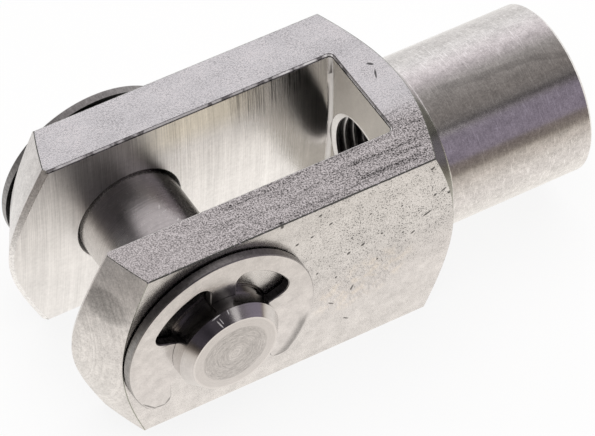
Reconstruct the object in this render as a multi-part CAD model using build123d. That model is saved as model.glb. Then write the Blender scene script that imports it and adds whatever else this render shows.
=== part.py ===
from build123d import *
import os
from math import radians, sqrt, tan

os.makedirs("parts", exist_ok=True)

# The frame: the origin is where the pin axis crosses the fork axis.
# +X runs along the fork towards its threaded shank, Y runs along the pin and +Z is up.

# Square bar that the fork is turned and milled from
bar_side = 32.0
bar_edge_break = 0.15

# Turned nose, a cone whose slope is measured from a plane square to the axis
nose_reach = 19.2
nose_flat_radius = 8.8
nose_angle = 30.0
nose_inner_chamfer = 0.9

# Slot between the ears. A large disc mill cut it, so its floor is a shallow arc, deepest halfway up,
# and the reach is how far behind the pin axis the floor lies there.
slot_width = 16.4
slot_reach = 33.3
slot_floor_radius = 190.0
slot_corner_radius = 0.65
slot_edge_chamfer = 0.4

# Solid bridge from the slot's floor to the foot of the shoulder cone, then the round shank
bridge_length = 7.48
shoulder_angle = 31.0
shoulder_fillet = 0.35
shank_radius = 13.0
shank_length = 23.97
shank_end_chamfer = 0.45

# Threaded hole along the shank, open to the slot and countersunk at the shank's end.
# Its wall stands at the thread's major radius.
thread_major_radius = 8.0
thread_mouth_countersink = 0.3

# Cross bore through both ears, with a countersink at each side of each ear
bore_inner_countersink = 0.45
bore_outer_countersink = 0.3

# Pin with a groove near each end
pin_radius = 7.95
pin_bore_clearance = 0.05
pin_head_length = 3.55
pin_end_chamfer_width = 1.25
pin_end_chamfer_length = 1.6

# Pin grooves, and the play of a clip in its groove
groove_depth = 0.45
groove_side_clearance = 0.05
clip_grip_clearance = 0.03

# Gaps between each clip and its ear. Together they are the end play of the pin.
near_clip_gap = 0.25
far_clip_gap = 1.45

# Stamped retaining clips, seen along the pin axis with the mouth facing down
clip_thickness = 1.35
clip_outer_radius = 14.9
clip_edge_bevel = 0.15
clip_rim_width = 2.95
clip_slot_corner_radius = 1.6
clip_slot_end_angle = 20.5
clip_tongue_half_width = 2.05

# The clip's mouth is narrower than its grip by the snap on each side, then flares between the legs.
# The leg ends stop short of the full circle by the leg cut.
clip_snap = 1.23
clip_flare_length = 1.9
clip_leg_cut = 5.0
clip_leg_end_width = 3.14
clip_leg_inner_corner_radius = 1.4
clip_leg_outer_corner_radius = 2.6

# Sizes that follow from the ones above
half_side = bar_side / 2
corner_radius = half_side * sqrt(2)
half_slot = slot_width / 2
shoulder_reach = slot_reach + bridge_length
shank_reach = shoulder_reach + shank_length
bore_radius = pin_radius + pin_bore_clearance
cutter_margin = 5.0
tolerance = 0.001
largest_fillet_share = 0.6
standing_on_plane = (Align.CENTER, Align.CENTER, Align.MIN)

near_clip_inner_y = -half_side - near_clip_gap
far_clip_inner_y = half_side + far_clip_gap
groove_width = clip_thickness + 2 * groove_side_clearance
groove_radius = pin_radius - groove_depth
clip_grip_radius = groove_radius + clip_grip_clearance
pin_end_radius = pin_radius - pin_end_chamfer_width

clip_slot_outer_radius = clip_outer_radius - clip_rim_width
clip_mouth_half_width = clip_grip_radius - clip_snap
clip_throat_height = -sqrt(clip_grip_radius**2 - clip_mouth_half_width**2)
clip_flare_height = clip_throat_height - clip_flare_length
clip_leg_end_height = clip_leg_cut - clip_outer_radius
clip_leg_outer_x = sqrt(clip_outer_radius**2 - clip_leg_end_height**2)
clip_flare_half_width = clip_leg_outer_x - clip_leg_end_width


def along_x(radius, start, end):
    """A round bar on the X axis, from one x to another."""
    return Plane.YZ.offset(start) * Cylinder(radius, end - start, align=standing_on_plane)


def box_between(low, high):
    """A box from its lowest to its highest corner."""
    size = [high[i] - low[i] for i in range(3)]
    middle = [(high[i] + low[i]) / 2 for i in range(3)]
    return Pos(*middle) * Box(*size)


def cone_on(axis_plane, wide_radius, narrow_radius, depth):
    """A countersink cutter that starts wide at the plane and narrows along its normal."""
    return axis_plane * Cone(wide_radius, narrow_radius, depth, align=standing_on_plane)


def turned_blank():
    """The outline that the lathe cuts, turned round the X axis: nose cone, bar, shoulder and shank.

    The nose cone runs on inside the slot's half width, so that the slot meets one clean cone.
    """
    nose_slope = tan(radians(nose_angle))
    shoulder_slope = tan(radians(shoulder_angle))
    outer = corner_radius + cutter_margin
    inner = half_slot / 2
    nose_inner_x = -nose_reach - (nose_flat_radius - inner) * nose_slope
    nose_outer_x = -nose_reach + (outer - nose_flat_radius) * nose_slope
    shoulder_outer_x = shoulder_reach - (outer - shank_radius) * shoulder_slope
    outline = Polyline(
        (nose_inner_x, 0),
        (nose_inner_x, inner),
        (nose_outer_x, outer),
        (shoulder_outer_x, outer),
        (shoulder_reach, shank_radius),
        (shank_reach - shank_end_chamfer, shank_radius),
        (shank_reach, shank_radius - shank_end_chamfer),
        (shank_reach, 0),
        close=True,
    )
    face = make_face(outline)
    shoulder_foot = face.vertices().sort_by_distance((shoulder_reach, shank_radius, 0))[0]
    face = fillet(shoulder_foot, shoulder_fillet)
    return revolve(face, Axis.X)


def square_bar():
    """The square stock with its four long edges broken."""
    length = nose_reach + shank_reach + 2 * cutter_margin
    middle_x = (shank_reach - nose_reach) / 2
    bar = Pos(middle_x, 0, 0) * Box(length, bar_side, bar_side)
    return chamfer(bar.edges().filter_by(Axis.X), bar_edge_break)


def slot_cutter():
    """The milled slot: open at the nose, with an arc for a floor and rounded corners beside it."""
    top = half_side + cutter_margin
    floor_end_x = slot_reach - slot_floor_radius + sqrt(slot_floor_radius**2 - top**2)
    open_end_x = -nose_reach - corner_radius
    open_side = Polyline((floor_end_x, top), (open_end_x, top), (open_end_x, -top), (floor_end_x, -top))
    floor = ThreePointArc((floor_end_x, -top), (slot_reach, 0), (floor_end_x, top))
    cutter = extrude(Plane.XZ * make_face(open_side + floor), half_slot, both=True)
    return fillet(cutter.edges().filter_by(GeomType.CIRCLE), slot_corner_radius)


def is_on_slot_wall(point):
    """True for a point in the plane of either slot wall."""
    return abs(abs(point.Y) - half_slot) < tolerance


def is_nose_inner_edge(edge):
    """True for the curved edges where the nose cone meets the slot's two walls."""
    on_wall = all(is_on_slot_wall(edge @ share) for share in (0.25, 0.5, 0.75))
    return on_wall and edge.geom_type != GeomType.LINE and edge.center().X < 0


def is_slot_rim_edge(edge):
    """True for the edges where the slot opens through the fork's top and bottom faces."""
    point = edge @ 0.5
    on_face = abs(abs(point.Z) - half_side) < tolerance
    return on_face and abs(point.Y) < half_slot + tolerance and point.X < slot_reach + tolerance


def cross_bore_cutter():
    """The bore for the pin, with its countersinks at the ears' inner and outer faces."""
    reach = half_side + cutter_margin
    cutter = Plane.XZ * Cylinder(bore_radius, 2 * reach)
    for side in (1, -1):
        outward = Vector(0, side, 0)
        inner_face = Plane(origin=(0, side * half_slot, 0), z_dir=outward)
        outer_face = Plane(origin=(0, side * half_side, 0), z_dir=-outward)
        for face, depth in ((inner_face, bore_inner_countersink), (outer_face, bore_outer_countersink)):
            cutter += cone_on(face, bore_radius + depth, bore_radius, depth)
    return cutter


def thread_hole_cutter():
    """The hole along the shank, from the slot to a countersink at the shank's end."""
    cutter = along_x(thread_major_radius, slot_reach - cutter_margin, shank_reach + cutter_margin)
    mouth = Plane(origin=(shank_reach, 0, 0), z_dir=(-1, 0, 0))
    wide = thread_major_radius + thread_mouth_countersink
    return cutter + cone_on(mouth, wide, thread_major_radius, thread_mouth_countersink)


def make_fork():
    """The fork: a turned square bar, slotted, edge-chamfered and bored."""
    fork = turned_blank() & square_bar()
    fork = fork - slot_cutter()
    fork = chamfer(fork.edges().filter_by(is_nose_inner_edge), nose_inner_chamfer)
    fork = chamfer(fork.edges().filter_by(is_slot_rim_edge), slot_edge_chamfer)
    past = corner_radius + cutter_margin
    fork = fork - box_between((-nose_reach - past, -past, -past), (-nose_reach, past, past))
    fork = fork - cross_bore_cutter()
    return fork - thread_hole_cutter()


def make_pin():
    """The pin, turned round the Y axis: plain shaft, two grooves and a chamfered head at each end."""
    near_groove = near_clip_inner_y + groove_side_clearance
    far_groove = far_clip_inner_y - groove_side_clearance
    near_end = near_groove - groove_width - pin_head_length
    far_end = far_groove + groove_width + pin_head_length
    outline = Polyline(
        (0, near_end),
        (pin_end_radius, near_end),
        (pin_radius, near_end + pin_end_chamfer_length),
        (pin_radius, near_groove - groove_width),
        (groove_radius, near_groove - groove_width),
        (groove_radius, near_groove),
        (pin_radius, near_groove),
        (pin_radius, far_groove),
        (groove_radius, far_groove),
        (groove_radius, far_groove + groove_width),
        (pin_radius, far_groove + groove_width),
        (pin_radius, far_end - pin_end_chamfer_length),
        (pin_end_radius, far_end),
        (0, far_end),
        close=True,
    )
    return revolve(make_face(outline), Axis.Y)


def clip_slot(side):
    """One of the two curved slots beside the tongue, as a flat outline with rounded outer corners."""
    ring = Circle(clip_slot_outer_radius)
    reach = clip_outer_radius + cutter_margin
    beside_tongue = Pos(side * (clip_tongue_half_width + reach / 2), 0) * Rectangle(reach, 2 * reach)
    end_line = Rot(0, 0, side * clip_slot_end_angle)
    above_side_pad = end_line * Pos(0, reach / 2) * Rectangle(2 * reach, reach)
    slot = ring & beside_tongue & above_side_pad
    corners = slot.vertices().filter_by(lambda v: Vector(v.X, v.Y, 0).length > clip_grip_radius)
    slot_depth = clip_slot_outer_radius - clip_grip_radius
    return fillet(corners, min(clip_slot_corner_radius, largest_fillet_share * slot_depth))


def clip_outline():
    """The stamped clip as a flat outline: a disc, less its grip circle, two slots and the flared mouth.

    In this outline X is the fork's X and Y is the fork's Z.
    """
    floor = -clip_outer_radius - cutter_margin
    mouth = make_face(
        Polyline(
            (-clip_mouth_half_width, 0),
            (-clip_mouth_half_width, clip_throat_height),
            (-clip_flare_half_width, clip_flare_height),
            (-clip_flare_half_width, floor),
            (clip_flare_half_width, floor),
            (clip_flare_half_width, clip_flare_height),
            (clip_mouth_half_width, clip_throat_height),
            (clip_mouth_half_width, 0),
            close=True,
        )
    )
    below_height = clip_leg_end_height - floor
    below_legs = Pos(0, floor + below_height / 2) * Rectangle(-2 * floor, below_height)
    outline = Circle(clip_outer_radius) - mouth - below_legs
    leg_corners = outline.vertices().filter_by(lambda v: v.Y < clip_leg_end_height + tolerance)
    inner_corners = leg_corners.filter_by(lambda v: abs(v.X) < clip_flare_half_width + tolerance)
    inner_wall = clip_flare_height - clip_leg_end_height
    outline = fillet(inner_corners, min(clip_leg_inner_corner_radius, largest_fillet_share * inner_wall))
    leg_corners = outline.vertices().filter_by(lambda v: v.Y < clip_leg_end_height + tolerance)
    outer_corners = leg_corners.sort_by(lambda v: abs(v.X))[-2:]
    outline = fillet(outer_corners, clip_leg_outer_corner_radius)
    outline = outline - Circle(clip_grip_radius)
    for side in (1, -1):
        outline = outline - clip_slot(side)
    return outline


def make_clip(inner_y, outward):
    """A clip as a plate on the pin, with the edges of its outer face broken all round."""
    inner_face = Plane(origin=(0, inner_y, 0), x_dir=(1, 0, 0), z_dir=(0, outward, 0))
    flat = clip_outline()
    if outward > 0:
        flat = mirror(flat, Plane.XZ)
    plate = extrude(inner_face * flat, clip_thickness, dir=(0, outward, 0))
    outer_face = plate.faces().sort_by(Axis.Y)[-1 if outward > 0 else 0]
    return chamfer(outer_face.edges(), clip_edge_bevel)


export_step(make_fork(), "parts/fork.step")
export_step(make_pin(), "parts/clevis_pin.step")
export_step(make_clip(near_clip_inner_y, -1), "parts/near_clip.step")
export_step(make_clip(far_clip_inner_y, 1), "parts/far_clip.step")
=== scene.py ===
from math import cos, pi, radians, sin, tan

import bmesh
import bpy
import numpy as np
from mathutils import Matrix, Vector


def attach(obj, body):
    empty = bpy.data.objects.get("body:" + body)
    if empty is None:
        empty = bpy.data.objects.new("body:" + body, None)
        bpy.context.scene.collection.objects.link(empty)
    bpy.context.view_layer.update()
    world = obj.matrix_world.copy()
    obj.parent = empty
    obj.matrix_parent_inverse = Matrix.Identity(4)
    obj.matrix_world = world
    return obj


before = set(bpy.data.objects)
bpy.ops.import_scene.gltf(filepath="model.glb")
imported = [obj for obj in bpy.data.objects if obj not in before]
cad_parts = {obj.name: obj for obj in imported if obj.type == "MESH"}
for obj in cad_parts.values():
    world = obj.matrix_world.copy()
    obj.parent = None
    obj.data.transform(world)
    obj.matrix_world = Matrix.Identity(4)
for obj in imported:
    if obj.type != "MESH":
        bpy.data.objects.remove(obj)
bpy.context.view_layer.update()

MM = 0.001

# Sizes of the solids that the finishes and the thread line up with, in millimetres
half_bar = 16.0
edge_break = 0.15
half_slot = 8.2
slot_floor_x = 33.3
slot_floor_radius = 190.0
slot_rim_chamfer = 0.4
nose_x = -19.2
nose_flat_radius = 8.8
nose_slope = tan(radians(30.0))
nose_inner_chamfer = 0.9
shoulder_slope = tan(radians(31.0))
shank_foot_x = 40.78
shank_end_x = 64.75
shank_radius = 13.0
bore_mouth_radius = 8.36
thread_major_radius = 8.0
thread_minor_radius = 7.19
thread_pitch = 1.5
pin_near_end_y = -21.2
pin_far_end_y = 22.4
pin_collar_y = -19.6
clip_outer_radius = 14.9
clip_thickness = 1.35
clip_bevel = 0.15
near_clip_inner_y = -16.25
far_clip_inner_y = 17.45


class Sock:
    """A node socket that does shader maths: an expression on Socks adds the Math nodes it needs."""

    def __init__(self, tree, socket):
        self.tree = tree
        self.socket = socket

    def _math(self, operation, *values):
        return node(self.tree, "ShaderNodeMath", {"operation": operation}, dict(enumerate(values)))

    def __add__(self, other):
        return self._math("ADD", self, other)

    def __radd__(self, other):
        return self._math("ADD", other, self)

    def __sub__(self, other):
        return self._math("SUBTRACT", self, other)

    def __rsub__(self, other):
        return self._math("SUBTRACT", other, self)

    def __mul__(self, other):
        return self._math("MULTIPLY", self, other)

    def __rmul__(self, other):
        return self._math("MULTIPLY", other, self)

    def __truediv__(self, other):
        return self._math("DIVIDE", self, other)

    def __rtruediv__(self, other):
        return self._math("DIVIDE", other, self)

    def __pow__(self, other):
        return self._math("POWER", self, other)

    def __abs__(self):
        return self._math("ABSOLUTE", self)

    def __gt__(self, other):
        return self._math("GREATER_THAN", self, other)

    def __lt__(self, other):
        return self._math("LESS_THAN", self, other)

    def most(self, other):
        return self._math("MAXIMUM", self, other)

    def ramp(self, low, high):
        """0 below low, 1 above high and a smooth rise between. High below low falls instead."""
        if high < low:
            return 1.0 - self.ramp(high, low)
        return node(
            self.tree,
            "ShaderNodeMapRange",
            {"interpolation_type": "SMOOTHSTEP"},
            {"Value": self, "From Min": low, "From Max": high},
        )

    def towards(self, other, share):
        """This value moved to the other by the share."""
        return self + (other - self) * share


def node(tree, kind, settings=None, inputs=None, output=0):
    """Adds one node: its settings first, then its sockets by name or number, as values or links."""
    new = tree.nodes.new(kind)
    for name, value in (settings or {}).items():
        if name == "stops":
            ramp = new.color_ramp
            while len(ramp.elements) < len(value):
                ramp.elements.new(1.0)
            for stop, (place, colour) in zip(ramp.elements, value):
                stop.position = place
                stop.color = (*colour, 1.0)
        else:
            setattr(new, name, value)
    for name, value in (inputs or {}).items():
        socket = new.inputs[name]
        if isinstance(value, Sock):
            tree.links.new(value.socket, socket)
        else:
            socket.default_value = value
    return Sock(tree, new.outputs[output])


def mix_colour(tree, share, first, second, blend="MIX"):
    """A colour between two colours, or the first times the second with blend MULTIPLY."""
    first, second = [c if isinstance(c, Sock) else (*c, 1.0) for c in (first, second)]
    settings = {"data_type": "RGBA", "blend_type": blend}
    return node(tree, "ShaderNodeMix", settings, {0: share, 6: first, 7: second}, output=2)


def shaded(tree, colour, level):
    """A colour, lighter or darker by a factor."""
    grey = node(tree, "ShaderNodeCombineColor", None, {0: level, 1: level, 2: level})
    return mix_colour(tree, 1.0, colour, grey, "MULTIPLY")


def tinted(tree, share, colour, tint):
    """A colour with a tint over a share of it."""
    return mix_colour(tree, share, colour, mix_colour(tree, 1.0, colour, tint, "MULTIPLY"))


def parts_of(tree, place):
    """The x, y and z of a vector."""
    return [node(tree, "ShaderNodeSeparateXYZ", None, {0: place}, output=i) for i in range(3)]


def place_in_mm(tree):
    """The point's place on its own object in millimetres, as a vector and as x, y and z."""
    metres = node(tree, "ShaderNodeTexCoord", output="Object")
    scale = {"operation": "SCALE"}
    place = node(tree, "ShaderNodeVectorMath", scale, {0: metres, "Scale": 1 / MM})
    return place, *parts_of(tree, place)


def vector(tree, x, y, z):
    return node(tree, "ShaderNodeCombineXYZ", None, {0: x, 1: y, 2: z})


def noise(tree, place, cells, detail=2.0, roughness=0.5, seed=0.0):
    """Noise about 0, mostly within 0.2, with so many cells per millimetre along each axis."""
    shift = (seed, 1.7 * seed, 0.6 * seed)
    inputs = {"Vector": place, "Scale": cells, "Location": shift}
    mapped = node(tree, "ShaderNodeMapping", None, inputs)
    inputs = {"Vector": mapped, "Scale": 1.0, "Detail": detail, "Roughness": roughness}
    return node(tree, "ShaderNodeTexNoise", {"noise_dimensions": "3D"}, inputs) - 0.5


dash_edge = (1.3, 0.4)


def dash(u, v, middle_u, middle_v, length, width, turn=0.0):
    """1 on a short mark about a point of a face, such as a pit or a scratch, and 0 off it."""
    du = u - middle_u
    dv = v - middle_v
    along = du * cos(radians(turn)) + dv * sin(radians(turn))
    across = dv * cos(radians(turn)) - du * sin(radians(turn))
    far = (along / (length / 2)) ** 2.0 + (across / (width / 2)) ** 2.0
    return far.ramp(*dash_edge)


def any_of(masks):
    """The greatest of several masks."""
    whole = masks[0]
    for mask in masks[1:]:
        whole = whole.most(mask)
    return whole


def dashes(u, v, marks):
    """The greatest of several dashes."""
    return any_of([dash(u, v, *mark) for mark in marks])


def metal(name):
    """An empty metal material, its node tree and its shader."""
    material = bpy.data.materials.new(name)
    material.use_nodes = True
    tree = material.node_tree
    shader = tree.nodes["Principled BSDF"]
    shader.inputs["Metallic"].default_value = 1.0
    return material, tree, shader


# Brightness of each finish as a factor of the steel's colour, before its noises
steel_colour = (0.77, 0.755, 0.745)
far_rail_tone = 1.12
near_rail_tone = 0.84
side_tone = 1.03
wall_tone = 1.12
floor_tone = 0.54
nose_tone = 1.0
bevel_tone = 1.15
shoulder_tone = 0.9
shank_tone = 1.0
rim_tone = 1.25
pin_tone = 0.9
pin_end_tone = 1.0
clip_face_tone = 1.03
clip_edge_tone = 0.45
clip_bevel_shade_tone = 0.62
thread_shade_tone = 0.45
darkest_level = 0.02

# Roughness of each finish, before its noises
least_roughness = 0.06
skin_roughness = 0.27
shank_roughness = 0.17
slot_roughness = 0.2
nose_roughness = 0.34
rim_roughness = 0.6
corner_roughness = 0.45
pin_roughness = 0.16
clip_edge_roughness = 0.42
thread_roughness = 0.3


def toned_steel(tree, level):
    """The steel's colour, lighter or darker by a factor."""
    return shaded(tree, steel_colour, level.most(darkest_level))


def finish(tree, shader, colour, rough, height):
    """Joins the colour, the roughness and a relief in millimetres to the shader."""
    inputs = {"Height": height, "Distance": MM, "Strength": 1.0}
    bump = node(tree, "ShaderNodeBump", None, inputs)
    tree.links.new(colour.socket, shader.inputs["Base Color"])
    tree.links.new(rough.most(least_roughness).socket, shader.inputs["Roughness"])
    tree.links.new(bump.socket, shader.inputs["Normal"])


# How near to a face a point lies that counts as on it, in millimetres
touch = 0.03
close_touch = 0.02
flat_touch = 0.01
slot_touch = 0.015
hole_touch = 0.05

# Where faces of the fork begin or end, in millimetres
slot_end_x = slot_floor_x - 1.9
slot_corner_width = 0.6
hole_start_x = slot_floor_x - 1.0
rim_corner_x = slot_floor_x - 0.5
nose_bevel_end_x = -5.0
shank_skin = 1.0
fillet_half_width = 0.4
fillet_height = 0.6
bore_edge_depth = 0.5
bore_edge_proud = 0.1

# Parts of the slot's rim, as shares of its height down from the top
rim_start = 0.03
upper_rim_line = 0.15
lower_rim_line = 0.7
rim_end = 0.96


class ForkPoint:
    """A point of the fork in millimetres, and a mask for each face that it may be on."""

    def __init__(self, tree):
        self.tree = tree
        self.place, self.x, self.y, self.z = place_in_mm(tree)
        self.across = abs(self.y)
        self.up = abs(self.z)
        self.radius = (self.y * self.y + self.z * self.z) ** 0.5
        self.around_pin = (self.x * self.x + self.z * self.z) ** 0.5
        self.measure_depths()
        self.find_slot_faces()
        self.find_outer_faces()
        self.find_turned_faces()

    def measure_depths(self):
        """How deep in the steel the point lies behind the slot, the nose, the shoulder and the rim."""
        floor_x = slot_floor_x - self.z * self.z / (2 * slot_floor_radius)
        self.from_slot = (self.across - half_slot).most(self.x - floor_x)
        self.from_nose = self.x - nose_x - (self.radius - nose_flat_radius) * nose_slope
        behind_foot = (self.radius - shank_radius) * shoulder_slope
        self.from_shoulder = shank_foot_x - behind_foot - self.x
        self.rim_depth = (half_bar - self.up) / slot_rim_chamfer

    def find_slot_faces(self):
        on_chamfer = (self.rim_depth < rim_end) * (self.rim_depth > rim_start)
        self.on_rim = on_chamfer * (self.from_slot < slot_rim_chamfer - close_touch)
        self.on_slot = (self.from_slot < slot_touch) * (1.0 - self.on_rim)
        at_end = self.on_slot * (self.x > slot_end_x)
        self.on_floor = at_end * (self.across < half_slot - slot_corner_width)
        self.on_wall = self.on_slot * (self.across > half_slot - touch)
        self.on_corner = at_end * (1.0 - self.on_wall) * (1.0 - self.on_floor)

    def find_outer_faces(self):
        behind_nose = self.from_nose > touch
        self.on_top = (self.up > half_bar - flat_touch) * behind_nose
        self.on_side = (self.across > half_bar - flat_touch) * behind_nose
        self.on_near_side = self.on_side * (self.y < 0.0)

    def find_turned_faces(self):
        self.on_nose = (self.from_nose < touch) * (self.across > half_slot + close_touch)
        inside_nose = (self.from_nose > touch) * (self.from_nose < nose_inner_chamfer)
        beside_slot = (self.from_slot > close_touch) * (self.from_slot < nose_inner_chamfer)
        self.on_bevel = inside_nose * beside_slot * (self.x < nose_bevel_end_x)
        beyond_foot = (self.x < shank_foot_x) * (self.radius > shank_radius)
        self.on_shoulder = (self.from_shoulder < touch) * beyond_foot
        outside = self.radius > shank_radius - shank_skin
        self.on_shank = (self.x > shank_foot_x - close_touch) * outside
        in_wall = self.radius < thread_major_radius + hole_touch
        self.in_hole = (self.x > hole_start_x) * in_wall


class ForkGrain:
    """The fork's noises, each shared by several of its faces."""

    def __init__(self, at):
        tree = at.tree
        place = at.place
        self.grain = noise(tree, place, (4.6, 4.6, 4.6), detail=2.0, roughness=0.75, seed=1.0)
        self.salt = self.grain.ramp(-0.24, 0.24) - 0.5
        self.smear = noise(tree, place, (0.45, 0.45, 0.5), detail=5.0, roughness=0.7, seed=9.0)
        self.patch = noise(tree, place, (0.12, 0.25, 0.25), detail=4.0, roughness=0.6, seed=2.0)
        self.mottle = noise(tree, place, (1.6, 1.6, 1.6), detail=4.0, roughness=0.75, seed=7.0)
        self.blotch = noise(tree, place, (0.35, 0.55, 0.55), detail=3.0, roughness=0.6, seed=13.0)
        self.turning = noise(tree, place, (7.0, 0.3, 0.3), detail=2.0, roughness=0.7, seed=8.0)
        round_nose = vector(tree, at.radius, at.x, at.x)
        cells = (5.0, 0.2, 0.2)
        self.nose_turning = noise(tree, round_nose, cells, detail=3.0, roughness=0.7, seed=11.0)
        # The disc mill left fine arcs on the slot's walls
        along_arc = vector(tree, at.x + at.z * at.z / (2 * slot_floor_radius), at.y, at.z)
        self.brush = noise(tree, along_arc, (5.5, 0.4, 0.06), detail=3.0, roughness=0.75, seed=4.0)
        self.broad = noise(tree, along_arc, (0.9, 0.4, 0.05), detail=2.0, seed=6.0)


# Marks seen on the fork: across, up, length, width and turn in degrees
shank_lines = (
    (48.0, -2.9, 11.0, 1.3, -8.0),
    (55.0, -3.4, 12.0, 1.1, -5.0),
    (62.0, -4.5, 8.0, 1.2, -16.0),
)
near_side_pits = (
    (10.1, 15.6, 0.58, 0.6, 0.0),
    (12.7, 10.4, 0.65, 0.4, 20.0),
    (15.1, 10.7, 0.58, 0.35, 10.0),
    (16.3, 14.5, 0.65, 0.4, 25.0),
    (18.1, 11.8, 0.72, 0.35, 20.0),
    (21.4, 3.7, 0.65, 0.5, 30.0),
    (21.8, 6.7, 0.36, 0.4, 0.0),
    (23.7, 4.3, 0.79, 0.45, 35.0),
    (24.7, 10.2, 0.43, 0.3, 0.0),
    (26.3, -0.3, 0.36, 0.4, 60.0),
    (26.8, 4.9, 0.36, 0.45, 60.0),
    (29.9, 9.0, 0.43, 0.3, 30.0),
    (30.4, 3.1, 0.43, 0.35, 0.0),
    (32.1, 2.2, 0.79, 0.35, 30.0),
    (34.6, 14.2, 0.72, 0.5, 20.0),
    (34.3, 5.0, 1.73, 0.35, 22.0),
    (35.4, 8.3, 0.65, 0.45, 20.0),
    (36.8, 8.7, 1.15, 0.35, 30.0),
    (37.8, 7.6, 0.72, 0.5, 20.0),
    (22.3, -4.2, 1.15, 0.3, 65.0),
    (19.5, -0.4, 0.43, 0.35, 60.0),
    (16.3, 2.2, 0.43, 0.35, 0.0),
    (18.9, -5.7, 1.3, 0.22, -35.0),
    (21.6, -10.5, 1.15, 0.22, -35.0),
)
near_side_scuffs = (24.0, -3.5, 17.0, 9.0, 15.0)
scuff_slant = 0.35
nose_smudge = (-12.0, 9.5, 7.0, 4.5, 20.0)
top_marks = (
    (36.5, 3.9, 1.1, 0.5, -40.0),
    (36.2, 1.9, 1.9, 0.32, 66.0),
    (10.1, -15.6, 0.7, 0.5, 0.0),
)
top_streaks = (
    (34.4, -5.45, 3.4, 0.4, 8.0),
    (35.6, -8.4, 5.8, 0.7, -6.0),
    (33.0, -12.9, 6.5, 1.2, -7.0),
    (29.2, -14.2, 11.0, 1.1, -2.0),
)

# Where the fork's looks change, in millimetres along an axis, from none of it to all of it
lower_edge_fade_z = (-15.0, 0.0)
near_rail_y = (-3.0, -8.4)
rail_change_x = (-8.0, 8.0)
speckle_x = (4.0, 24.0)
speckle_z = (-9.0, 8.0)
light_side_x = (2.0, 12.0)
light_side_z = (0.0, 12.0)
cool_side_z = (-6.0, 6.0)
crevice_x = (-1.5, -3.5)
crevice_z = (-5.0, -2.0)
under_clip_squared = (clip_outer_radius**2 + 4.0, clip_outer_radius**2 - 8.0)
wall_darkening_z = (-4.0, 12.0)
brushed_wall_z = (-4.0, 10.0)
rough_wall_x = (14.0, 2.0)
stain_z = (8.0, 13.5)
stain_start_x = (-2.0, 8.0)
stain_end_x = (24.0, 15.0)
dark_brush_z = (5.0, 13.0)
dark_brush_start_x = (12.0, 20.0)
dark_brush_end_x = (31.0, 27.0)
bevel_darkening_z = (-2.0, 6.0)
back_blobs_x = (22.0, 25.0)
front_blobs_x = (-4.0, -9.0)
shoulder_shade_y = (-3.0, -6.0)
shoulder_shade_z = (-2.0, 4.0)

# Thin lines of painted dark reflection where two faces meet, in millimetres
line_wobble = 0.16
long_line_width = 0.02
long_line_off_slot = 1.0
nose_line_width = 0.18
shoulder_line_width = 0.1


def edge_shade_lines(at):
    """Painted dark reflection: thin dark lines along the bar's edges, the nose and the shoulder."""
    wobble = noise(at.tree, at.place, (2.0, 2.0, 2.0), detail=3.0, seed=3.0) * line_wobble
    edge = 2 * half_bar - edge_break - long_line_width + wobble
    long_edge = ((at.across + at.up) > edge) * (at.from_slot > long_line_off_slot) * 0.75
    nose_edge = (at.from_nose < nose_line_width + wobble) * (at.on_top + at.on_side * 0.6)
    shoulder_edge = (at.from_shoulder < shoulder_line_width + wobble) * at.on_top * 0.5
    return any_of([long_edge * at.z.ramp(*lower_edge_fade_z), nose_edge, shoulder_edge])


def top_skin(at, steel, near_rail):
    """Pickled skin of the top: grainy on the far rail, darker and streaked on the near one."""
    cells = (0.07, 1.1, 1.1)
    streak = noise(at.tree, at.place, cells, detail=4.0, roughness=0.7, seed=5.0)
    streaks = dashes(at.x, at.y, top_streaks) * at.on_top * (at.z > 0.0)
    along_rail = at.x.ramp(*rail_change_x)
    near_skin = near_rail_tone - along_rail * 0.09 + steel.patch * 0.5 + steel.salt * (1.1 + along_rail * 0.35)
    near_skin = near_skin - streak.ramp(-0.02, 0.2) * 0.36 * along_rail
    near_skin = near_skin + streak.ramp(-0.05, -0.2) * 0.2 * along_rail
    near_skin = near_skin - streaks * streak.ramp(-0.15, 0.05) * 0.2
    skin = far_rail_tone + steel.salt * (0.5 + steel.smear.ramp(-0.1, 0.15) * 0.45)
    skin = skin + steel.patch * 0.65
    return skin.towards(near_skin, near_rail) * (1.0 - streaks * (1.0 - near_rail) * 0.35)


def side_skin(at, steel, scuffed):
    """Skin of the sides: smoother towards the nose, speckled towards the shank, and scuffed."""
    speckled = at.x.ramp(*speckle_x) * (at.z.ramp(*speckle_z) * 0.9 + 0.1)
    dots = noise(at.tree, at.place, (3.8, 3.8, 3.8), detail=1.0, roughness=0.6, seed=21.0)
    speck = dots.ramp(-0.07, -0.13) * speckled * (0.55 + steel.smear.ramp(0.12, -0.12) * 0.9)
    slanted = vector(at.tree, at.x + at.z * scuff_slant, at.y, at.z - at.x * scuff_slant)
    scuff = noise(at.tree, slanted, (3.0, 1.0, 0.6), detail=3.0, roughness=0.7, seed=23.0)
    side = side_tone + steel.smear * 0.55 + steel.patch * 0.4
    side = side + steel.salt * (0.3 + speckled * 0.3)
    side = side - speck * 0.62 + scuff * scuffed * 0.8
    return side + at.z.ramp(*light_side_z) * at.x.ramp(*light_side_x) * 0.07


def clip_gap_shade(at):
    """Painted shade in the gap behind each clip, above the open mouth of the near one."""
    under_clip = (at.x * at.x + at.z * at.z).ramp(*under_clip_squared)
    above_legs = under_clip * at.z.ramp(*crevice_z)
    behind_near_clip = at.on_near_side * above_legs * at.x.ramp(*crevice_x)
    return behind_near_clip + at.on_side * (at.y > 0.0) * above_legs


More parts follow.
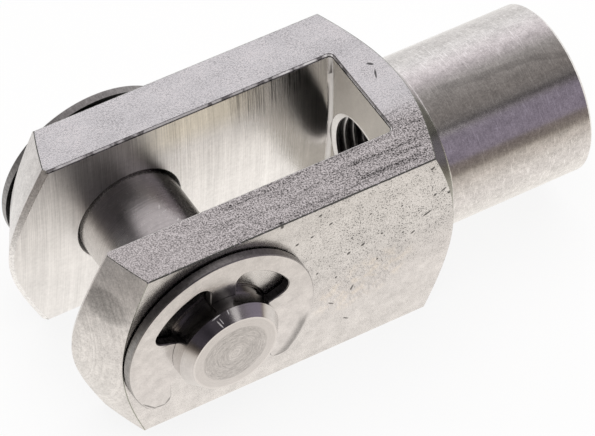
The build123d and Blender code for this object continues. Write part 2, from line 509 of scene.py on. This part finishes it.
def slot_wall(at, steel):
    """Brushed wall of the slot, darker towards its top, and darker in its brush marks at the upper
    back.
    """
    wall = wall_tone - at.z.ramp(*wall_darkening_z) * 0.2
    wall = wall + steel.brush * (0.45 + at.z.ramp(*brushed_wall_z) * 0.65)
    wall = wall + steel.broad * 0.35 + steel.patch * 0.25 + steel.mottle * 0.4
    dark_brush = steel.brush.ramp(-0.02, 0.08) * at.z.ramp(*dark_brush_z)
    return wall - dark_brush * at.x.ramp(*dark_brush_start_x) * at.x.ramp(*dark_brush_end_x) * 0.75


def turned_shank(at, steel):
    """Turned shank with light flecks and a few broad dull lines along it."""
    cells = (4.0, 0.55, 0.55)
    fleck = noise(at.tree, at.place, cells, detail=2.0, roughness=0.6, seed=17.0).ramp(0.06, 0.18)
    turned = shank_tone + steel.turning * 0.22 + steel.mottle * 0.8 + steel.blotch * 0.6
    turned = turned + steel.grain * 0.9 + fleck * 0.26
    lines = dashes(at.x, at.y, shank_lines) * (at.z > 0.0)
    return turned - lines * (0.16 + steel.mottle * 0.5)


def turned_nose(at, steel):
    """Turned nose: rings on the near ear, a smudge on its upper corner, and a lighter far ear."""
    near_ear = at.y < 0.0
    smudge = dash(at.y, at.z, *nose_smudge) * near_ear
    tone = nose_tone + (at.y > 0.0) * 0.05 + steel.nose_turning * (0.15 + near_ear * 0.4)
    return tone + steel.mottle * 0.65 + steel.blotch * 0.5 - smudge * 0.34 + steel.salt * 0.3


def slot_rim(at, steel):
    """Two lines of painted shade along the edges of the rim chamfer, with a light nicked band between
    them, and its bright burr.
    """
    nick = noise(at.tree, at.place, (0.8, 0.5, 0.5), detail=2.0, seed=12.0)
    # Painted shade along the upper and lower edges of the chamfer
    rim_edge_shade = (at.rim_depth < upper_rim_line).most(at.rim_depth > lower_rim_line)
    rim = rim_tone - rim_edge_shade - nick.ramp(-0.06, -0.12) * 0.6 + steel.grain * 0.6
    blobs = nick.ramp(0.0, 0.06) * (at.x.ramp(*back_blobs_x) + at.x.ramp(*front_blobs_x) * 0.6)
    far_side = blobs.most(0.42 - nick.ramp(-0.02, -0.08) * 0.3) * (at.y > 0.0)
    band = at.on_rim * (at.x < rim_corner_x) * (1.0 - rim_edge_shade)
    return rim, band * far_side.most(at.y < 0.0)


def fork_roughness(at, steel):
    rough = skin_roughness + steel.grain * 0.2
    rough = rough.towards(shank_roughness + steel.mottle * 0.1, at.on_shank)
    in_slot = slot_roughness + at.x.ramp(*rough_wall_x) * 0.14 + steel.brush * 0.1
    rough = rough.towards(in_slot, at.on_slot)
    rough = rough.towards(nose_roughness + steel.mottle * 0.1, at.on_nose.most(at.on_bevel))
    rough = rough.towards(rim_roughness, at.on_rim)
    return rough.towards(corner_roughness, at.on_corner)


def fork_relief(at, steel, pits):
    """Relief of each finish, in millimetres."""
    height = steel.salt * 0.008 * (at.on_top + at.on_side * 0.35) + steel.smear * 0.05 * at.on_side
    height = height + steel.brush * 0.012 * at.on_slot
    turned = at.on_shank.most(at.on_shoulder)
    height = height + (steel.turning * 0.002 + steel.mottle * 0.004) * turned
    height = height + (steel.nose_turning * 0.01 + steel.mottle * 0.015) * at.on_nose
    return height + steel.mottle * 0.03 * at.on_bevel - pits * 0.03


def fork_steel():
    """Machined bar: grainy skin on the square faces, brushed slot walls, turned nose and shank."""
    material, tree, shader = metal("machined_bar")
    at = ForkPoint(tree)
    steel = ForkGrain(at)
    # Painted dark reflection along the bar's edges, the nose and the shoulder
    line = edge_shade_lines(at)
    near_rail = at.y.ramp(*near_rail_y)
    marks = dashes(at.x, at.y, top_marks) * at.on_top * (at.z > 0.0)
    pits = dashes(at.x, at.z, near_side_pits) * at.on_near_side
    scuffed = dash(at.x, at.z, *near_side_scuffs) * at.on_near_side
    # Painted shade round the mouth of each pin bore, where the pin meets the slot's wall
    at_bore = (at.around_pin < bore_mouth_radius) * (at.across < half_slot + bore_edge_depth)
    bore_edge_shade = at_bore * (at.from_slot > -bore_edge_proud)
    shoulder_shade = at.y.ramp(*shoulder_shade_y) * at.z.ramp(*shoulder_shade_z)
    near_foot = abs(at.x - shank_foot_x) < fillet_half_width
    in_fillet = near_foot * (at.radius < shank_radius + fillet_height)
    bevel_darkening = at.z.ramp(*bevel_darkening_z)
    rim, burr = slot_rim(at, steel)

    level = 1.0 + steel.mottle * 0.2 - in_fillet * shoulder_shade * 0.6
    for mask, tone in (
        (at.on_top, top_skin(at, steel, near_rail)),
        (at.on_side, side_skin(at, steel, scuffed)),
        (at.on_wall, slot_wall(at, steel)),
        (at.on_floor, floor_tone + steel.mottle * 0.2 + steel.broad * 0.12),
        (at.on_nose, turned_nose(at, steel)),
        # The nose's inner bevel is darker towards the top
        (at.on_bevel, bevel_tone - bevel_darkening * 0.2 + steel.mottle * 1.1 + steel.grain),
        (at.on_shoulder, shoulder_tone + steel.turning * 0.3 - shoulder_shade * 0.45),
        (at.on_shank, turned_shank(at, steel)),
        (at.on_rim, rim),
    ):
        level = level.towards(tone, mask)
    for mask, depth in (
        # Painted dark reflection along the edges
        (line, 0.85),
        (any_of([pits, marks]), 0.8),
        # Painted shade inside the threaded hole
        (at.in_hole, 0.25),
        # Painted shade behind the clips
        (clip_gap_shade(at), 0.74),
        (bore_edge_shade, 0.65),
    ):
        level = level * (1.0 - mask * depth)

    colour = toned_steel(tree, level)
    stain = at.on_wall * at.z.ramp(*stain_z) * at.x.ramp(*stain_start_x)
    for share, tint in (
        # A green tint on the painted edge lines and on the painted shade of the shoulder
        (line.most(at.on_shoulder * shoulder_shade), (0.95, 1.06, 0.86)),
        (stain * at.x.ramp(*stain_end_x) * 0.6, (1.0, 0.93, 0.74)),
        (at.on_side * at.z.ramp(*cool_side_z) * 0.8, (0.985, 1.0, 1.0)),
        (scuffed * steel.smear.ramp(-0.05, 0.12), (1.02, 0.985, 0.93)),
        (at.on_floor * 0.8, (1.03, 1.0, 0.92)),
        (at.on_top * (1.0 - near_rail), (0.985, 1.025, 1.05)),
    ):
        colour = tinted(tree, share, colour, tint)
    tree.links.new((1.0 - burr).socket, shader.inputs["Metallic"])
    finish(tree, shader, colour, fork_roughness(at, steel), fork_relief(at, steel, pits))
    return material


# Marks on the pin's upper side: scratch marks on the shaft, and on the collar bright marks that are
# partly scratch marks and partly painted glints: along x, along y, length, width and turn in degrees
pin_scratches_and_glints = (
    (0.7, 1.3, 0.9, 0.13, 60.0),
    (1.0, 0.3, 0.9, 0.12, 20.0),
    (1.9, -1.9, 0.6, 0.16, 30.0),
    (-2.4, -19.72, 1.4, 0.15, 4.0),
    (-2.25, -20.6, 1.2, 0.2, -64.0),
    (-1.9, -20.4, 0.9, 0.12, -70.0),
    (-0.6, -19.85, 0.6, 0.16, 90.0),
)

# Where the pin's looks change, in millimetres along an axis or from the middle of its end
pin_side_shade_x = (2.6, 5.4)
pin_side_shade_z = (-6.0, -1.0)
collar_shade_x = (-6.0, -2.0)
collar_shade_z = (-1.0, 2.0)
clear_circles_radius = (5.2, 4.7)
dull_disc_radius = (5.2, 4.9)
light_centre_radius = (2.0, 0.3)
rim_highlight_radius = (6.3, 6.55)
groove_end_y = near_clip_inner_y + 0.4
half_eye = half_slot + 0.5


def pin_end(radius, circle):
    """Turned end: a dull disc of clear circles with a light centre, and a painted highlight on its rim.
    """
    end = pin_end_tone + circle * (0.4 + radius.ramp(*clear_circles_radius) * 1.3)
    end = end - radius.ramp(*dull_disc_radius) * 0.2
    return end + radius.ramp(*light_centre_radius) * 0.16 + radius.ramp(*rim_highlight_radius) * 0.15


def pin_steel():
    """Turned pin: fine rings round the shaft and collar, and turned circles on the ends."""
    material, tree, shader = metal("turned_pin")
    place, x, y, z = place_in_mm(tree)
    radius = (x * x + z * z) ** 0.5
    on_end = (y < pin_near_end_y + close_touch).most(y > pin_far_end_y - close_touch)
    in_eye = abs(y) < half_eye
    round_shaft = vector(tree, y, 0.0, 0.0)
    ring = noise(tree, round_shaft, (8.0, 1.0, 1.0), detail=3.0, roughness=0.7, seed=2.0)
    swirl = vector(tree, radius, x * 0.8, z * 0.8)
    circle = noise(tree, swirl, (3.4, 1.0, 1.0), detail=5.0, roughness=0.9, seed=4.0)
    mottle = noise(tree, place, (1.2, 1.2, 1.2), detail=4.0, roughness=0.7, seed=5.0)

    # Painted shade: the shaft is darker on its +x side
    pin_side_shade = x.ramp(*pin_side_shade_x) * z.ramp(*pin_side_shade_z)
    shaft = (pin_tone + ring * 0.5 + mottle * 0.5) * (1.0 - pin_side_shade * 0.75)
    level = (pin_tone + ring * 0.3 + mottle * 0.3).towards(shaft, in_eye)
    on_collar = (y < groove_end_y) * (y > pin_collar_y)
    collar_shade = on_collar * z.ramp(*collar_shade_z) * x.ramp(*collar_shade_x)
    level = level * (1.0 - collar_shade * 0.4)
    level = level.towards(pin_end(radius, circle), on_end)
    # The four marks on the collar are partly painted glints on its chamfer's edge
    scratches_and_glints = dashes(x, y, pin_scratches_and_glints) * (z > 0.0) * (1.0 - on_end)
    colour = toned_steel(tree, level + scratches_and_glints * 0.5)
    tree.links.new((1.0 - scratches_and_glints * 0.35).socket, shader.inputs["Metallic"])
    rough = pin_roughness + mottle * 0.1 + on_end * 0.08 + in_eye * 0.1 + scratches_and_glints * 0.4
    height = ring * (0.006 + in_eye * 0.006) * (1.0 - on_end) + circle * 0.012 * on_end
    finish(tree, shader, colour, rough, height)
    return material


# Painted shade on the edges at the ends of the near clip's legs: across, up, length, width and turn
leg_end_shade_marks = (
    (9.3, -9.75, 2.4, 0.7, 0.0),
    (-11.4, -8.75, 3.6, 0.28, -45.0),
    (-9.6, -9.6, 2.4, 0.28, -10.0),
    (-8.3, -8.85, 2.2, 0.4, 50.0),
)

# Where the clips' looks change, and where their painted shade lies, in millimetres from the pin's axis
# or up
leg_shade_inner_radius = (12.5, 14.1)
leg_shade_outer_radius = (14.7, 14.25)
leg_shade_z = (-2.5, -5.0)
tongue_shade_radius = (10.6, 9.3)
tongue_foot_z = 3.0
inner_edge_radius = (clip_outer_radius - 0.1, clip_outer_radius - 0.6)


def clip_steel(name, inner_y, outward):
    """Stamped clip: bright rolled faces, and a dark torn edge all round. Painted shade darkens its
    bevel, its back, the ends of its legs and the tongue beside the pin's collar.
    """
    material, tree, shader = metal(name)
    place, x, y, z = place_in_mm(tree)
    depth = (y - inner_y) * outward
    on_face = depth > clip_thickness - flat_touch
    on_bevel = (depth > clip_thickness - clip_bevel + flat_touch) * (1.0 - on_face)
    on_back = depth < flat_touch
    radius = (x * x + z * z) ** 0.5
    tear = noise(tree, place, (3.0, 1.2, 3.0), detail=4.0, roughness=0.8, seed=3.0)
    mottle = noise(tree, place, (0.6, 0.6, 0.6), detail=4.0, roughness=0.6, seed=6.0)
    fine = noise(tree, place, (4.0, 4.0, 4.0), detail=2.0, roughness=0.7, seed=8.0)

    # Painted shade along the outer edge of the legs' ends
    leg_edge_shade = radius.ramp(*leg_shade_inner_radius) * radius.ramp(*leg_shade_outer_radius)
    leg_edge_shade = leg_edge_shade * z.ramp(*leg_shade_z) * (x > 0.0)
    leg_edge_shade = leg_edge_shade.most(dashes(x, z, leg_end_shade_marks))
    # Painted shade on the tongue beside the pin's collar
    tongue = radius.ramp(*tongue_shade_radius) * (z > tongue_foot_z)
    face = clip_face_tone + mottle * 0.6 + fine * 0.3
    face = face * (1.0 - leg_edge_shade * 0.55) * (1.0 - tongue * 0.6) + (fine + 0.1) * leg_edge_shade * 0.4
    edge = clip_edge_tone + tear * 0.9 - radius.ramp(*inner_edge_radius) * 0.22
    # The bevel's dark tone is painted shade of the gap along the clip's edge
    level = edge.towards(face, on_face).towards(clip_bevel_shade_tone + tear * 0.4, on_bevel)
    # Painted shade: the back, which faces the ear, is darkened
    colour = toned_steel(tree, level * (1.0 - on_back * 0.7))
    rough = clip_edge_roughness - on_face * 0.22 + mottle * 0.12
    height = tear * 0.03 * (1.0 - on_face) + mottle * 0.03 * on_face
    finish(tree, shader, colour, rough, height)
    return material


# Where the thread has painted highlight, in millimetres: on its crests and on its first edge at the
# slot
crest_highlight_radius = (thread_minor_radius + 0.3, thread_minor_radius + 0.1)
first_edge_highlight_x = (slot_floor_x + 0.85, slot_floor_x + 0.7)


def thread_steel():
    """Cut thread: painted highlight on the crests and painted shade on the flanks."""
    material, tree, shader = metal("cut_thread")
    place, x, y, z = place_in_mm(tree)
    radius = (y * y + z * z) ** 0.5
    # Painted highlight on the crests and on the first edge; elsewhere the dark tone is painted shade
    bright = radius.ramp(*crest_highlight_radius).most(x.ramp(*first_edge_highlight_x))
    mottle = noise(tree, place, (2.0, 2.0, 2.0), detail=3.0, roughness=0.7, seed=2.0)
    colour = toned_steel(tree, thread_shade_tone + bright * 0.55 + mottle * 0.4)
    finish(tree, shader, colour, thread_roughness + mottle * 0.1, mottle * 0.02)
    return material


def dress(node_name, material):
    """Puts a material on a CAD node."""
    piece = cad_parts[node_name]
    for slot in piece.material_slots:
        slot.material = material


dress("fork", fork_steel())
dress("clevis_pin", pin_steel())
dress("near_clip", clip_steel("near_clip_steel", near_clip_inner_y, -1))
dress("far_clip", clip_steel("far_clip_steel", far_clip_inner_y, 1))

# Internal thread: a closed sleeve with the thread inside. Its outer wall lies in the fork.
crest_half_width = thread_pitch / 8
flank_slope = tan(radians(60.0))
flank_width = (thread_major_radius - thread_minor_radius) / flank_slope
thread_root_radius = 7.98
sleeve_radius = 8.06
thread_start_gap = 0.02
thread_stop_x = shank_end_x - 0.3
first_crest_x = 33.97
first_crest_angle = radians(18.0)
thread_segments = 96
spare_turns = 2
weld_distance = 0.001 * MM


def thread_surface():
    """The points of the thread in the hole along the shank, as a grid of rows by columns.

    Round the axis by the angle u, each row of points climbs by one pitch a turn. Rows stand where
    the profile turns: at both edges of the crest, halfway down each flank and at its foot. The radius
    is the minor one on the crest and grows by tan 60 degrees times the distance from the crest's
    edge. The first end follows the slot's floor and the other is cut square. The last two rows go
    back outside the thread to close the sleeve.
    """
    u = np.arange(thread_segments + 1) * 2 * pi / thread_segments
    offsets = np.array([-1, -0.5, 0, 0, 0.5, 1]) * flank_width
    offsets = offsets + np.array([-1, -1, -1, 1, 1, 1]) * crest_half_width
    turns = int((thread_stop_x - first_crest_x) / thread_pitch) + 2 * spare_turns
    crests = first_crest_x + (np.arange(turns) - spare_turns) * thread_pitch
    rows = (crests[:, None] + offsets[None, :]).reshape(-1)
    climb = (u - first_crest_angle) * thread_pitch / (2 * pi)
    slot_floor = slot_floor_x - (thread_major_radius * np.sin(u)) ** 2 / (2 * slot_floor_radius)
    start = slot_floor + thread_start_gap
    x = np.clip(rows[:, None] + climb[None, :], start[None, :], thread_stop_x)
    phase = (x - first_crest_x - climb[None, :]) / thread_pitch
    away = np.abs(phase - np.round(phase)) * thread_pitch - crest_half_width
    radius = thread_minor_radius + np.clip(away, 0, None) * flank_slope
    radius = np.clip(radius, None, thread_root_radius)
    x = np.concatenate([x, np.full((1, len(u)), thread_stop_x), start[None, :]])
    radius = np.concatenate([radius, np.full((2, len(u)), sleeve_radius)])
    return np.stack([x, radius * np.cos(u), radius * np.sin(u)], axis=-1) * MM


def make_thread():
    """The thread's mesh. The last row joins the first, and so do the points where u comes round."""
    points = thread_surface()
    rows, columns = points.shape[:2]
    i, j = np.meshgrid(np.arange(columns - 1), np.arange(rows))
    above = (j + 1) % rows
    corners = [j * columns + i, above * columns + i, above * columns + i + 1, j * columns + i + 1]
    faces = np.stack(corners, axis=-1).reshape(-1, 4)
    mesh = bpy.data.meshes.new("thread")
    mesh.from_pydata(points.reshape(-1, 3).tolist(), [], faces.tolist())
    shell = bmesh.new()
    shell.from_mesh(mesh)
    bmesh.ops.remove_doubles(shell, verts=shell.verts, dist=weld_distance)
    bmesh.ops.dissolve_degenerate(shell, edges=shell.edges, dist=weld_distance)
    bmesh.ops.recalc_face_normals(shell, faces=shell.faces)
    shell.to_mesh(mesh)
    shell.free()
    thread = bpy.data.objects.new("thread", mesh)
    bpy.context.scene.collection.objects.link(thread)
    mesh.materials.append(thread_steel())
    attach(thread, "fork")


make_thread()

# Camera: the photograph's lens, place and tilt
view_azimuth = radians(-33.418)
view_elevation = radians(48.777)
view_roll = radians(3.054)
view_distance = 680.19 * MM
view_target = Vector((20.31, -4.181, 0.0)) * MM
view_lens = 290.31
sensor_width = 36.0
nearest_seen = 0.01
farthest_seen = 20.0


def place_camera():
    """Looks at the target from the azimuth and elevation, then rolls about the line of sight."""
    level_reach = cos(view_elevation)
    back_x = sin(view_azimuth) * level_reach
    back_y = -cos(view_azimuth) * level_reach
    back = Vector((back_x, back_y, sin(view_elevation)))
    camera_data = bpy.data.cameras.new("view")
    camera_data.lens = view_lens
    camera_data.sensor_width = sensor_width
    camera_data.clip_start = nearest_seen
    camera_data.clip_end = farthest_seen
    camera = bpy.data.objects.new("view", camera_data)
    bpy.context.scene.collection.objects.link(camera)
    camera.rotation_mode = "QUATERNION"
    level = (-back).to_track_quat("-Z", "Y")
    camera.rotation_quaternion = level @ Matrix.Rotation(view_roll, 3, "Z").to_quaternion()
    camera.location = view_target + back * view_distance
    bpy.context.scene.camera = camera


# Studio: a white floor, a light tent with a bright back and a dim front, and a soft lamp overhead
floor_half_size = 6.0
floor_colour = (0.97, 0.97, 0.965)
floor_glow_share = 0.86
tent_radius = 2.5
tent_turns = 48
tent_rings = 16
lamp_strength = 2.5
lamp_spread = radians(80.0)
card_place = Vector((85.0, -137.0, 146.0)) * MM
card_aim = Vector((0.0, -20.4, 7.3)) * MM
card_half_width = 28.0 * MM
card_half_height = 12.0 * MM
card_colour = (0.78, 0.75, 0.74)
card_mottle_cells = 40.0
white = (1.0, 1.0, 1.0)

# What the metal sees of the tent, by the angle about the fork's axis, from the front over the top
tent_colours = (
    (0.0, (0.20, 0.165, 0.15)),
    (0.035, (0.21, 0.18, 0.165)),
    (0.05, (0.26, 0.225, 0.28)),
    (0.24, (0.25, 0.22, 0.27)),
    (0.268, (0.20, 0.18, 0.19)),
    (0.282, (0.075, 0.068, 0.07)),
    (0.305, (0.08, 0.075, 0.075)),
    (0.32, (0.19, 0.175, 0.17)),
    (0.389, (0.22, 0.20, 0.19)),
    (0.522, (0.28, 0.26, 0.25)),
    (0.589, (0.36, 0.34, 0.33)),
    (0.70, (0.66, 0.61, 0.63)),
    (0.778, (0.87, 0.82, 0.84)),
    (0.889, (0.90, 0.88, 0.88)),
    (0.978, (0.80, 0.78, 0.77)),
    (1.0, (0.78, 0.76, 0.75)),
)

# Where the tent is dim, by the direction's share along x or y, and how much
dim_left_depth = 0.78
dim_left_x = (-0.25, -0.6)
dim_front_depth = 0.7
dim_front_y = (0.1, -0.1)
dim_front_right_x = (0.30, 0.12)
dim_front_left_x = (-0.75, -0.45)

# What the metal sees of the floor, from far in front of the part to behind it, in metres
floor_near_y = -0.20
floor_far_y = 0.10
floor_colours = (
    (0.0, (0.22, 0.19, 0.17)),
    (0.17, (0.26, 0.22, 0.19)),
    (0.30, (0.50, 0.45, 0.40)),
    (0.40, (0.58, 0.53, 0.48)),
    (0.477, (0.66, 0.60, 0.55)),
    (0.533, (0.76, 0.71, 0.66)),
    (0.583, (0.87, 0.82, 0.78)),
    (0.633, (0.96, 0.92, 0.87)),
    (0.733, (1.0, 0.98, 0.95)),
    (0.777, (1.0, 0.98, 0.96)),
    (0.81, (0.90, 0.88, 0.86)),
    (0.87, (0.84, 0.82, 0.80)),
    (1.0, (0.79, 0.77, 0.76)),
)
floor_left_x = (-0.05, -0.12)
floor_left_tint = (0.42, 0.40, 0.39)


def stage_piece(name, points, faces, material):
    """A mesh of the studio, in metres."""
    mesh = bpy.data.meshes.new(name)
    mesh.from_pydata(points.tolist(), [], faces.tolist())
    mesh.materials.append(material)
    piece = bpy.data.objects.new(name, mesh)
    bpy.context.scene.collection.objects.link(piece)
    return piece


def studio_material(name):
    """A material with an empty node tree and its output. No ray is aimed at its glow on purpose."""
    material = bpy.data.materials.new(name)
    material.use_nodes = True
    material.cycles.emission_sampling = "NONE"
    tree = material.node_tree
    tree.nodes.clear()
    out = tree.nodes.new("ShaderNodeOutputMaterial")
    return material, tree, out.inputs["Surface"]


def glow_of(tree, colour):
    return node(tree, "ShaderNodeEmission", None, {"Color": colour, "Strength": 1.0})


def make_floor():
    """A flat square just under the part. It is white to the camera and keeps the part's soft shadow."""
    x = np.array([-1, 1, 1, -1]) * floor_half_size
    y = np.array([-1, -1, 1, 1]) * floor_half_size
    z = np.full(4, -half_bar * MM)
    material, tree, surface = studio_material("floor_card")
    metres = node(tree, "ShaderNodeTexCoord", output="Object")
    across, along = parts_of(tree, metres)[:2]
    share_back = (along - floor_near_y) / (floor_far_y - floor_near_y)
    seen = node(tree, "ShaderNodeValToRGB", {"stops": floor_colours}, {0: share_back})
    seen = tinted(tree, across.ramp(*floor_left_x), seen, floor_left_tint)
    camera, glossy, through = [
        node(tree, "ShaderNodeLightPath", output=name)
        for name in ("Is Camera Ray", "Is Glossy Ray", "Is Transmission Ray")
    ]
    glow = glow_of(tree, mix_colour(tree, glossy, white, seen))
    card = node(tree, "ShaderNodeBsdfDiffuse", None, {"Color": (*floor_colour, 1.0)})
    share = camera * floor_glow_share + glossy + through
    mixed = node(tree, "ShaderNodeMixShader", None, {0: share, 1: card, 2: glow})
    tree.links.new(mixed.socket, surface)
    stage_piece("floor", np.stack([x, y, z], axis=1), np.array([[0, 1, 2, 3]]), material)


def tent_cloth():
    """Cloth that glows by its direction from the part, dimmer at the left and at the front."""
    material, tree, surface = studio_material("tent_cloth")
    metres = node(tree, "ShaderNodeTexCoord", output="Object")
    aim = node(tree, "ShaderNodeVectorMath", {"operation": "NORMALIZE"}, {0: metres})
    x, y, z = parts_of(tree, aim)
    angle = node(tree, "ShaderNodeMath", {"operation": "ARCTAN2"}, {0: y, 1: z.most(0.0)})
    cloth = node(tree, "ShaderNodeValToRGB", {"stops": tent_colours}, {0: angle / pi + 0.5})
    at_left = x.ramp(*dim_left_x)
    at_front = y.ramp(*dim_front_y) * x.ramp(*dim_front_right_x) * x.ramp(*dim_front_left_x)
    keep = (1.0 - at_left * dim_left_depth) * (1.0 - at_front * dim_front_depth)
    cloth = shaded(tree, cloth, keep)
    tree.links.new(glow_of(tree, cloth).socket, surface)
    return material


def make_tent():
    """A half sphere of cloth round the part. The camera looks through it.

    The radius is constant, u goes round the upright axis and v rises from the floor to the top.
    """
    around = np.arange(tent_turns) * 2 * pi / tent_turns
    upward = np.arange(tent_rings + 1) * 0.5 * pi / tent_rings
    u, v = np.meshgrid(around, upward)
    x = tent_radius * np.cos(u) * np.cos(v)
    y = tent_radius * np.sin(u) * np.cos(v)
    z = tent_radius * np.sin(v) - half_bar * MM
    points = np.stack([x, y, z], axis=-1).reshape(-1, 3)
    i, j = np.meshgrid(np.arange(tent_turns), np.arange(tent_rings))
    a = j * tent_turns + i
    b = j * tent_turns + (i + 1) % tent_turns
    faces = np.stack([a, b, b + tent_turns, a + tent_turns], axis=-1).reshape(-1, 4)
    tent = stage_piece("tent", points, faces, tent_cloth())
    tent.visible_camera = False
    tent.visible_shadow = False


def make_card():
    """A small bright card beside the lens, which draws the streak on the pin's collar."""
    towards = (card_aim - card_place).normalized()
    side = towards.cross(Vector((0.0, 0.0, 1.0))).normalized()
    across = side * card_half_width
    upward = side.cross(towards) * card_half_height
    corners = [(-1, -1), (1, -1), (1, 1), (-1, 1)]
    points = [card_place + across * a + upward * b for a, b in corners]
    material, tree, surface = studio_material("bright_card")
    metres = node(tree, "ShaderNodeTexCoord", output="Object")
    inputs = {"Vector": metres, "Scale": card_mottle_cells}
    soft = node(tree, "ShaderNodeTexNoise", None, inputs)
    glow = glow_of(tree, shaded(tree, card_colour, soft * 0.4 + 0.8))
    tree.links.new(glow.socket, surface)
    card = stage_piece("card", np.array(points), np.array([[0, 1, 2, 3]]), material)
    card.visible_camera = False
    card.visible_shadow = False
    card.visible_diffuse = False


def make_lamp():
    """A wide soft lamp straight overhead for the floor and its shadow, flagged off the metal."""
    data = bpy.data.lights.new("overhead", "SUN")
    data.energy = lamp_strength
    data.angle = lamp_spread
    lamp = bpy.data.objects.new("overhead", data)
    lamp.visible_glossy = False
    bpy.context.scene.collection.objects.link(lamp)


def make_world():
    """White beyond the floor."""
    world = bpy.data.worlds.new("studio")
    world.use_nodes = True
    world.node_tree.nodes["Background"].inputs["Color"].default_value = (*white, 1.0)
    bpy.context.scene.world = world


place_camera()
make_floor()
make_tent()
make_card()
make_lamp()
make_world()

bpy.context.scene.view_settings.view_transform = "Standard"
